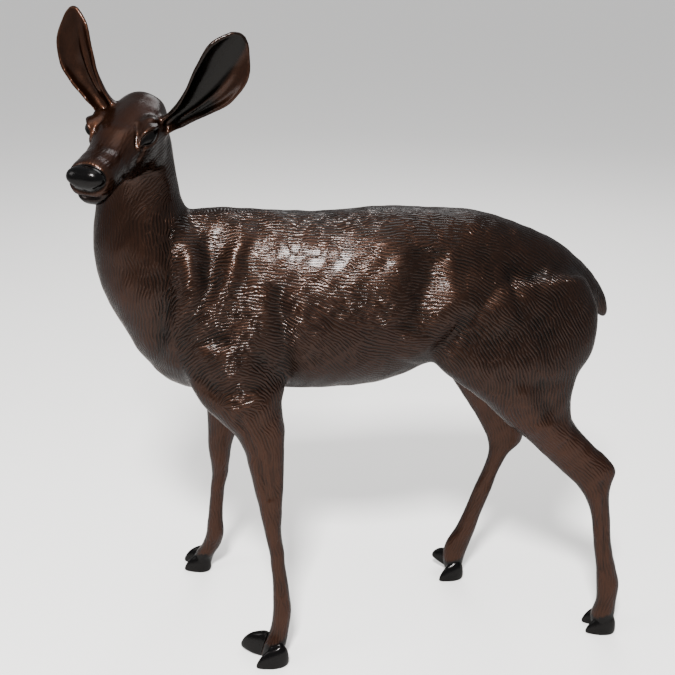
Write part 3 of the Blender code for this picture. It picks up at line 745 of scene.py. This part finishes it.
def strokeWays(points, normals):
    # The way the chiselled strokes run. Each region gives an angle in the side view, and they are
    # averaged as double angles, because a stroke has no front or back.
    x, z = points[:, 0] / size, points[:, 2] / size
    shoulder = np.where(points[:, 1] > 0, trunk["farShoulderForward"], 0.0)
    cosSum, sinSum = np.full(len(x), 0.6), np.zeros(len(x))

    def include(angle, weight):
        nonlocal cosSum, sinSum
        cosSum = cosSum + weight * np.cos(2 * angle)
        sinSum = sinSum + weight * np.sin(2 * angle)

    dx, dz = x + shoulder - coat["foreTurn"][0], z - coat["foreTurn"][1]
    include(np.arctan2(-dx, dz), 3.0 * bell(np.hypot(dx, dz), 0.22)
            * ramp(np.hypot(dx, dz), 0.02, 0.09) * ramp(z, 0.56, 0.66))
    dx, dz = x - coat["hindTurn"][0], z - coat["hindTurn"][1]
    include(np.arctan2(-dx, dz), 6.0 * ramp(x, 0.06, 0.20) * ramp(z, 0.50, 0.60))
    upright = np.full(len(x), math.pi / 2)
    include(upright, 8.0 * ramp(-x, 0.40, 0.50) * ramp(z, 0.55, 0.7))
    include(upright, 8.0 * ramp(z, 0.98, 1.06))
    below = 1.0 - ramp(z, 0.52, 0.62)
    for name, (side, rows) in legs.items():
        rows = np.array(rows)[::-1]
        middle = (rows[:, 1] + rows[:, 2]) / 2
        lean = np.gradient(middle, rows[:, 0])
        mine = below * (np.sign(points[:, 1]) == side) * ((x > 0) == (middle.mean() > 0))
        include(np.arctan2(1.0, np.interp(z, rows[:, 0], lean)), 12.0 * mine)
    angle = np.arctan2(sinSum, cosSum) / 2
    angle = np.where(angle > coat["turnAt"], angle - math.pi, angle)
    nearTurn = np.abs((angle - coat["turnAt"] + math.pi / 2) % math.pi - math.pi / 2)
    ways = np.stack([np.cos(angle), np.zeros(len(x)), np.sin(angle)], axis=1)
    shares = headShares(points)
    away = np.linalg.norm((shares - (0.5, 0, -0.2)) / (0.75, 0.4, 0.45), axis=1)
    onHead = ramp(-away, -1.3, -1.0)
    ways = ways * (1 - onHead)[:, None] + headAxes()[0] * onHead[:, None]
    ways -= normals * np.sum(ways * normals, axis=1)[:, None]
    ways /= np.maximum(np.linalg.norm(ways, axis=1), 1e-6)[:, None]
    return ways, ramp(nearTurn, 0.02, 0.12)


def giveAttribute(mesh, name, values):
    layer = mesh.attributes.new(name, "FLOAT_VECTOR", "POINT")
    layer.data.foreach_set("vector", values.astype(np.float32).ravel())


def earShade(points, normals, shares):
    # Painted shade inside the cups of the ears, less on the rolled lobe of the front edge, which
    # catches the light; weaker on the far ear.
    shade = np.zeros(len(points))
    for side, name, strength in ((near, "near", 1.0), (far, "far", 0.35)):
        root, tip, opening, halfWidth, bow, _ = ears[name]
        root, length, axis, opening, frontWay = earAxes(root, tip, opening)
        along = (points - root) @ axis / length
        sideways = (points - root) @ frontWay / size - bow * np.sin(math.pi * along)
        mine = ramp(along, 0.05, 0.2) * ramp(points[:, 2] / size, 1.14, 1.18)
        mine *= ramp(side * shares[:, 1], 0.2, 0.3)
        lobe = ramp(sideways / halfWidth, 0.20, 0.42) * ramp(along, 0.4, 0.6)
        shade += strength * mine * ramp(normals @ opening, 0.05, 0.35) * (1.0 - 0.9 * lobe)
    return np.clip(shade, 0.0, 1.0)


def hoofShare(points):
    # 1 inside an oval a little larger than each claw, and below its sloping top.
    hoof = np.zeros(len(points))
    for leg, toe, heel, rise, large in hooves["claws"]:
        middle, reach, way, sideways = clawPlace(leg, toe, heel, large)
        away = points[:, :2] - middle
        along = away @ way / reach
        wide = away @ sideways / (large * size * hooves["width"] / 2)
        top = large * size * hooves["height"] * (1.05 - 0.25 * along)
        top += size * rise * (1 + along) / 2
        within = ramp(-np.hypot(along, wide), -1.25, -1.12)
        hoof = np.maximum(hoof, within * ramp(top - points[:, 2], -0.001, 0.002))
    return hoof


def markSurface(doe):
    # What the bronze needs to know, from 0 to 1: blackness, strength of the strokes, warmth;
    # then how hollow the surface is, from -1 to 1, and the painted shade inside the ears.
    mesh = doe.data
    points, normals = readPoints(mesh), readPoints(mesh, "normal")
    x, z = points[:, 0] / size, points[:, 2] / size
    ways, steady = strokeWays(points, normals)
    giveAttribute(mesh, "acrossStrokes", np.cross(normals, ways))

    shares = headShares(points)
    mirrored = bothSides(shares)
    earTop = ramp(z, 1.20, 1.24) * ramp(mirrored[:, 1], 0.30, 0.40)
    nose = 1.0 - ramp(padMeasure(shares), 0.98, 1.06)
    chin = 0.8 * ramp(shares[:, 0], 0.86, 0.94) * ramp(-shares[:, 2], 0.17, 0.21)
    chin *= 1.0 - ramp(np.linalg.norm(shares - (0.95, 0.0, -0.25), axis=1), 0.20, 0.30)
    measure, _, nearEye = eyeMeasure(mirrored)
    eyeball = nearEye * (1.0 - ramp(measure, 0.80, 1.00))
    black = np.maximum.reduce([nose, chin, eyeball, hoofShare(points)])
    belly = ramp(-normals[:, 2], 0.35, 0.75) * ramp(z, 0.5, 0.6) * (1.0 - ramp(z, 0.8, 0.9))
    headShare = ramp(z, 1.10, 1.22)
    places = {"belly": belly, "head": headShare, "ears": earTop,
              "legs": 1.0 - ramp(z, 0.50, 0.62), "neck": ramp(z, 0.96, 1.06),
              "chest": ramp(-x, 0.44, 0.52)}
    strokes = steady * (1.0 - black)
    for place, weaker in coat["weaker"].items():
        strokes *= 1.0 - weaker * places[place]
    warmth = np.clip(1.0 - ramp(z, 0.50, 0.72) + 0.6 * headShare + 0.5 * ramp(-x, 0.42, 0.52), 0, 1)
    giveAttribute(mesh, "finish", np.stack([black, strokes, warmth], axis=1))

    smooth = doe.copy()
    smooth.data = mesh.copy()
    bpy.context.scene.collection.objects.link(smooth)
    soften(smooth, *softening["hollows"], np.ones(len(points)))
    hollow = np.sum((readPoints(smooth.data) - points) * normals, axis=1)
    bpy.data.objects.remove(smooth)
    hollow = np.clip(hollow / softening["hollowDepth"], -1.0, 1.0)
    # painted shade inside the cups of the ears
    shade = earShade(points, normals, shares)
    giveAttribute(mesh, "hollowAndEarShade", np.stack([hollow, shade, np.zeros(len(points))], axis=1))


def linear(colour):
    # "#rrggbb" in sRGB to linear red, green, blue, alpha.
    parts = np.array([int(colour[i:i + 2], 16) for i in (1, 3, 5)]) / 255.0
    parts = np.where(parts <= 0.04045, parts / 12.92, ((parts + 0.055) / 1.055)**2.4)
    return (*parts.tolist(), 1.0)


def addNode(tree, kind, settings=None, **inputs):
    # Adds a node; an input is a value or another node's output socket.
    node = tree.nodes.new(kind)
    for name, value in (settings or {}).items():
        setattr(node, name, value)
    for name, value in inputs.items():
        socket = node.inputs[int(name[1:])] if name[0] == "i" and name[1:].isdigit() else \
            node.inputs[name.replace("_", " ")]
        if isinstance(value, bpy.types.NodeSocket):
            tree.links.new(value, socket)
        else:
            socket.default_value = value
    return node


bronze = {
    "ridge": "#20120b",       # chocolate brown patina on the rubbed ridges
    "warm": "#29160c",        # redder on the legs and face
    "groove": "#030201",      # black left in the recesses
    "strokeGap": 0.0085,      # metres between chiselled strokes
    "strokeLength": 0.021,
    "strokeDepth": 0.0011,
    "black": "#060505",       # nose, chin, eyes and hooves
    "edge": "#8a7a70",        # what the metal mirrors at a grazing look
    "sway": 1.1,              # how much the strokes waver
}


def patinatedBronze():
    # Lost-wax cast bronze, chemically browned and lacquered: dark semi-metal with a clear coat,
    # black in the chiselled strokes, rubbed lighter on the ridges.
    material = bpy.data.materials.new("patinated_bronze")
    material.use_nodes = True
    tree = material.node_tree
    tree.nodes.clear()
    place = addNode(tree, "ShaderNodeTexCoord").outputs["Object"]
    across = addNode(tree, "ShaderNodeAttribute", {"attribute_name": "acrossStrokes"})
    finish = addNode(tree, "ShaderNodeAttribute", {"attribute_name": "finish"})
    hollowAndEarShade = addNode(tree, "ShaderNodeAttribute", {"attribute_name": "hollowAndEarShade"})
    finishParts = addNode(tree, "ShaderNodeSeparateXYZ", Vector=finish.outputs["Vector"]).outputs
    black, strokes, warmth = finishParts[0], finishParts[1], finishParts[2]
    # how hollow the surface is, and the painted shade inside the ears
    hollowAndEarShadeParts = addNode(tree, "ShaderNodeSeparateXYZ", Vector=hollowAndEarShade.outputs["Vector"]).outputs
    hollow, earPaintedShade = hollowAndEarShadeParts[0], hollowAndEarShadeParts[1]

    # the strokes waver: their way is bent by a slow noise
    sway = addNode(tree, "ShaderNodeTexNoise", Vector=place, Scale=28.0, Detail=1.0)
    centred = addNode(tree, "ShaderNodeVectorMath", {"operation": "SUBTRACT"},
                      i0=sway.outputs["Color"], i1=(0.5, 0.5, 0.5))
    bent = addNode(tree, "ShaderNodeVectorMath", {"operation": "MULTIPLY_ADD"},
                   i0=centred.outputs[0], i1=(bronze["sway"],) * 3,
                   i2=across.outputs["Vector"])
    cell = bronze["strokeLength"]
    # the bands of this texture come out a quarter wider than the sum says
    gabor = addNode(tree, "ShaderNodeTexGabor", {"gabor_type": "3D"}, Vector=place,
                    Scale=1.0 / cell, Frequency=1.25 * cell / bronze["strokeGap"], Anisotropy=1.0)
    tree.links.new(bent.outputs[0], gabor.inputs["Orientation"])
    wave = addNode(tree, "ShaderNodeMapRange", {"interpolation_type": "SMOOTHSTEP"},
                   Value=gabor.outputs["Value"], From_Min=0.34, From_Max=0.62).outputs["Result"]

    broad = addNode(tree, "ShaderNodeTexNoise", Vector=place, Scale=7.0, Detail=3.0,
                    Roughness=0.6).outputs["Fac"]
    fine = addNode(tree, "ShaderNodeTexNoise", Vector=place, Scale=260.0, Detail=3.0,
                   Roughness=0.65).outputs["Fac"]

    # height of the surface in metres
    deep = addNode(tree, "ShaderNodeMath", {"operation": "MULTIPLY"}, i0=wave, i1=strokes)
    grit = addNode(tree, "ShaderNodeMath", {"operation": "MULTIPLY"}, i0=fine, i1=0.22)
    height = addNode(tree, "ShaderNodeMath", {"operation": "ADD"}, i0=deep.outputs[0],
                     i1=grit.outputs[0])
    bump = addNode(tree, "ShaderNodeBump", Strength=1.0, Distance=bronze["strokeDepth"],
                   Height=height.outputs[0]).outputs["Normal"]

    body = addNode(tree, "ShaderNodeMix", {"data_type": "RGBA"}, Factor=warmth)
    body.inputs["A"].default_value = linear(bronze["ridge"])
    body.inputs["B"].default_value = linear(bronze["warm"])
    # the dark of grooves, hollows and broad blotches, and the painted shade inside the ears, added
    # up
    groove = addNode(tree, "ShaderNodeMath", {"operation": "MULTIPLY_ADD"}, i0=wave, i1=-0.75,
                     i2=0.75)
    cut = addNode(tree, "ShaderNodeMath", {"operation": "MULTIPLY"}, i0=groove.outputs[0],
                  i1=strokes)
    sunk = addNode(tree, "ShaderNodeMath", {"operation": "MULTIPLY_ADD"}, i0=hollow, i1=0.5,
                   i2=cut.outputs[0])
    shaded = addNode(tree, "ShaderNodeMath", {"operation": "ADD"}, i0=sunk.outputs[0], i1=earPaintedShade)
    blotch = addNode(tree, "ShaderNodeMapRange", Value=broad, From_Min=0.35, From_Max=0.7,
                     To_Min=0.16, To_Max=-0.1).outputs["Result"]
    dark = addNode(tree, "ShaderNodeMath", {"operation": "ADD", "use_clamp": True},
                   i0=shaded.outputs[0], i1=blotch)
    colour = addNode(tree, "ShaderNodeMix", {"data_type": "RGBA"}, Factor=dark.outputs[0])
    tree.links.new(body.outputs["Result"], colour.inputs["A"])
    colour.inputs["B"].default_value = linear(bronze["groove"])
    final = addNode(tree, "ShaderNodeMix", {"data_type": "RGBA"}, Factor=black)
    tree.links.new(colour.outputs["Result"], final.inputs["A"])
    final.inputs["B"].default_value = linear(bronze["black"])

    uneven = addNode(tree, "ShaderNodeMapRange", Value=fine, From_Min=0.3, From_Max=0.7,
                     To_Min=0.30, To_Max=0.46).outputs["Result"]
    rough = addNode(tree, "ShaderNodeMath", {"operation": "MULTIPLY_ADD"}, i0=black, i1=-0.15,
                    i2=uneven).outputs[0]
    shader = addNode(tree, "ShaderNodeBsdfPrincipled", Metallic=0.9, Base_Color=final.outputs[
        "Result"], Roughness=rough, Normal=bump, Coat_Weight=0.18, Coat_Roughness=0.16,
        Coat_Normal=bump, Specular_Tint=linear(bronze["edge"]))
    output = addNode(tree, "ShaderNodeOutputMaterial")
    tree.links.new(shader.outputs["BSDF"], output.inputs["Surface"])
    return material


def paleFloor():
    # A level square under the doe, matt, so wide that its edge is out of the picture.
    material = bpy.data.materials.new("pale_floor_paint")
    material.use_nodes = True
    shader = material.node_tree.nodes["Principled BSDF"]
    shader.inputs["Base Color"].default_value = linear("#efedea")
    shader.inputs["Roughness"].default_value = 0.9
    corners = studio["floor"] * np.array(((-1, -1, 0), (1, -1, 0), (1, 1, 0), (-1, 1, 0)))
    made = meshObject("pale_floor", corners, np.array(((0, 1, 2, 3),)))
    made.data.materials.append(material)


studio = {
    # azimuth and elevation in degrees, distance, size and watts of each soft light
    "key": (-12, 48, 4.0, 0.6, 520),
    "fill": (-75, 30, 4.2, 1.6, 60),
    "top": (20, 84, 4.0, 2.4, 40),
    "back": (160, 45, 4.5, 2.0, 120),
    "air": 0.95,              # strength of the pale surroundings
    "floor": 60.0,            # metres from the middle to an edge
    "lookAt": (-0.080, 0.000, 0.704),
    "azimuth": -5.0, "elevation": 21.0, "distance": 2.11,
    "lens": 51.2,             # millimetres on a 36 mm wide sensor
}


def lookingBack(azimuth, elevation):
    a, e = math.radians(azimuth), math.radians(elevation)
    return np.array((math.sin(a) * math.cos(e), -math.cos(a) * math.cos(e), math.sin(e)))


def aim(made, azimuth, elevation, middle, distance):
    made.location = middle + distance * lookingBack(azimuth, elevation)
    made.rotation_euler = (math.radians(90 - elevation), 0.0, math.radians(azimuth))


def lightAndCamera(shift):
    middle = size * np.array(studio["lookAt"]) + shift
    for name in ("key", "fill", "top", "back"):
        azimuth, elevation, distance, wide, watts = studio[name]
        lamp = bpy.data.lights.new(name, "AREA")
        lamp.size, lamp.energy = wide, watts
        made = bpy.data.objects.new(name, lamp)
        bpy.context.scene.collection.objects.link(made)
        aim(made, azimuth, elevation, middle, distance)
    world = bpy.data.worlds.new("pale_air")
    world.use_nodes = True
    world.node_tree.nodes["Background"].inputs["Color"].default_value = linear("#f4f5f7")
    world.node_tree.nodes["Background"].inputs["Strength"].default_value = studio["air"]
    bpy.context.scene.world = world
    eye = bpy.data.cameras.new("camera")
    eye.sensor_width, eye.lens = 36.0, studio["lens"]
    made = bpy.data.objects.new("camera", eye)
    bpy.context.scene.collection.objects.link(made)
    aim(made, studio["azimuth"], studio["elevation"], middle, size * studio["distance"])
    bpy.context.scene.camera = made


def main():
    doe = bronzeDoe()
    markSurface(doe)
    points = readPoints(doe.data)
    low, high = [np.array(corner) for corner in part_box("doe")]
    lowest, highest = points.min(axis=0), points.max(axis=0)
    # The mesh stands 1.2 mm proud of the solid's box on each side and 1.3 mm in height, and is
    # drawn in by that much.
    drawnIn = np.minimum(1.0, (high - low) / (highest - lowest))
    points = (points - (lowest + highest) / 2) * drawnIn + (low + high) / 2
    points[:, 2] -= points[:, 2].min()
    writePoints(doe.data, points)
    shift = (low + high) / 2 - (lowest + highest) / 2
    shift[2] = 0.0
    doe.data.polygons.foreach_set("use_smooth", np.ones(len(doe.data.polygons), dtype=bool))
    doe.data.materials.clear()
    doe.data.materials.append(patinatedBronze())
    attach(doe, "root")
    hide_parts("doe")
    print("doe finished, shift", shift)
    paleFloor()
    lightAndCamera(shift)


main()
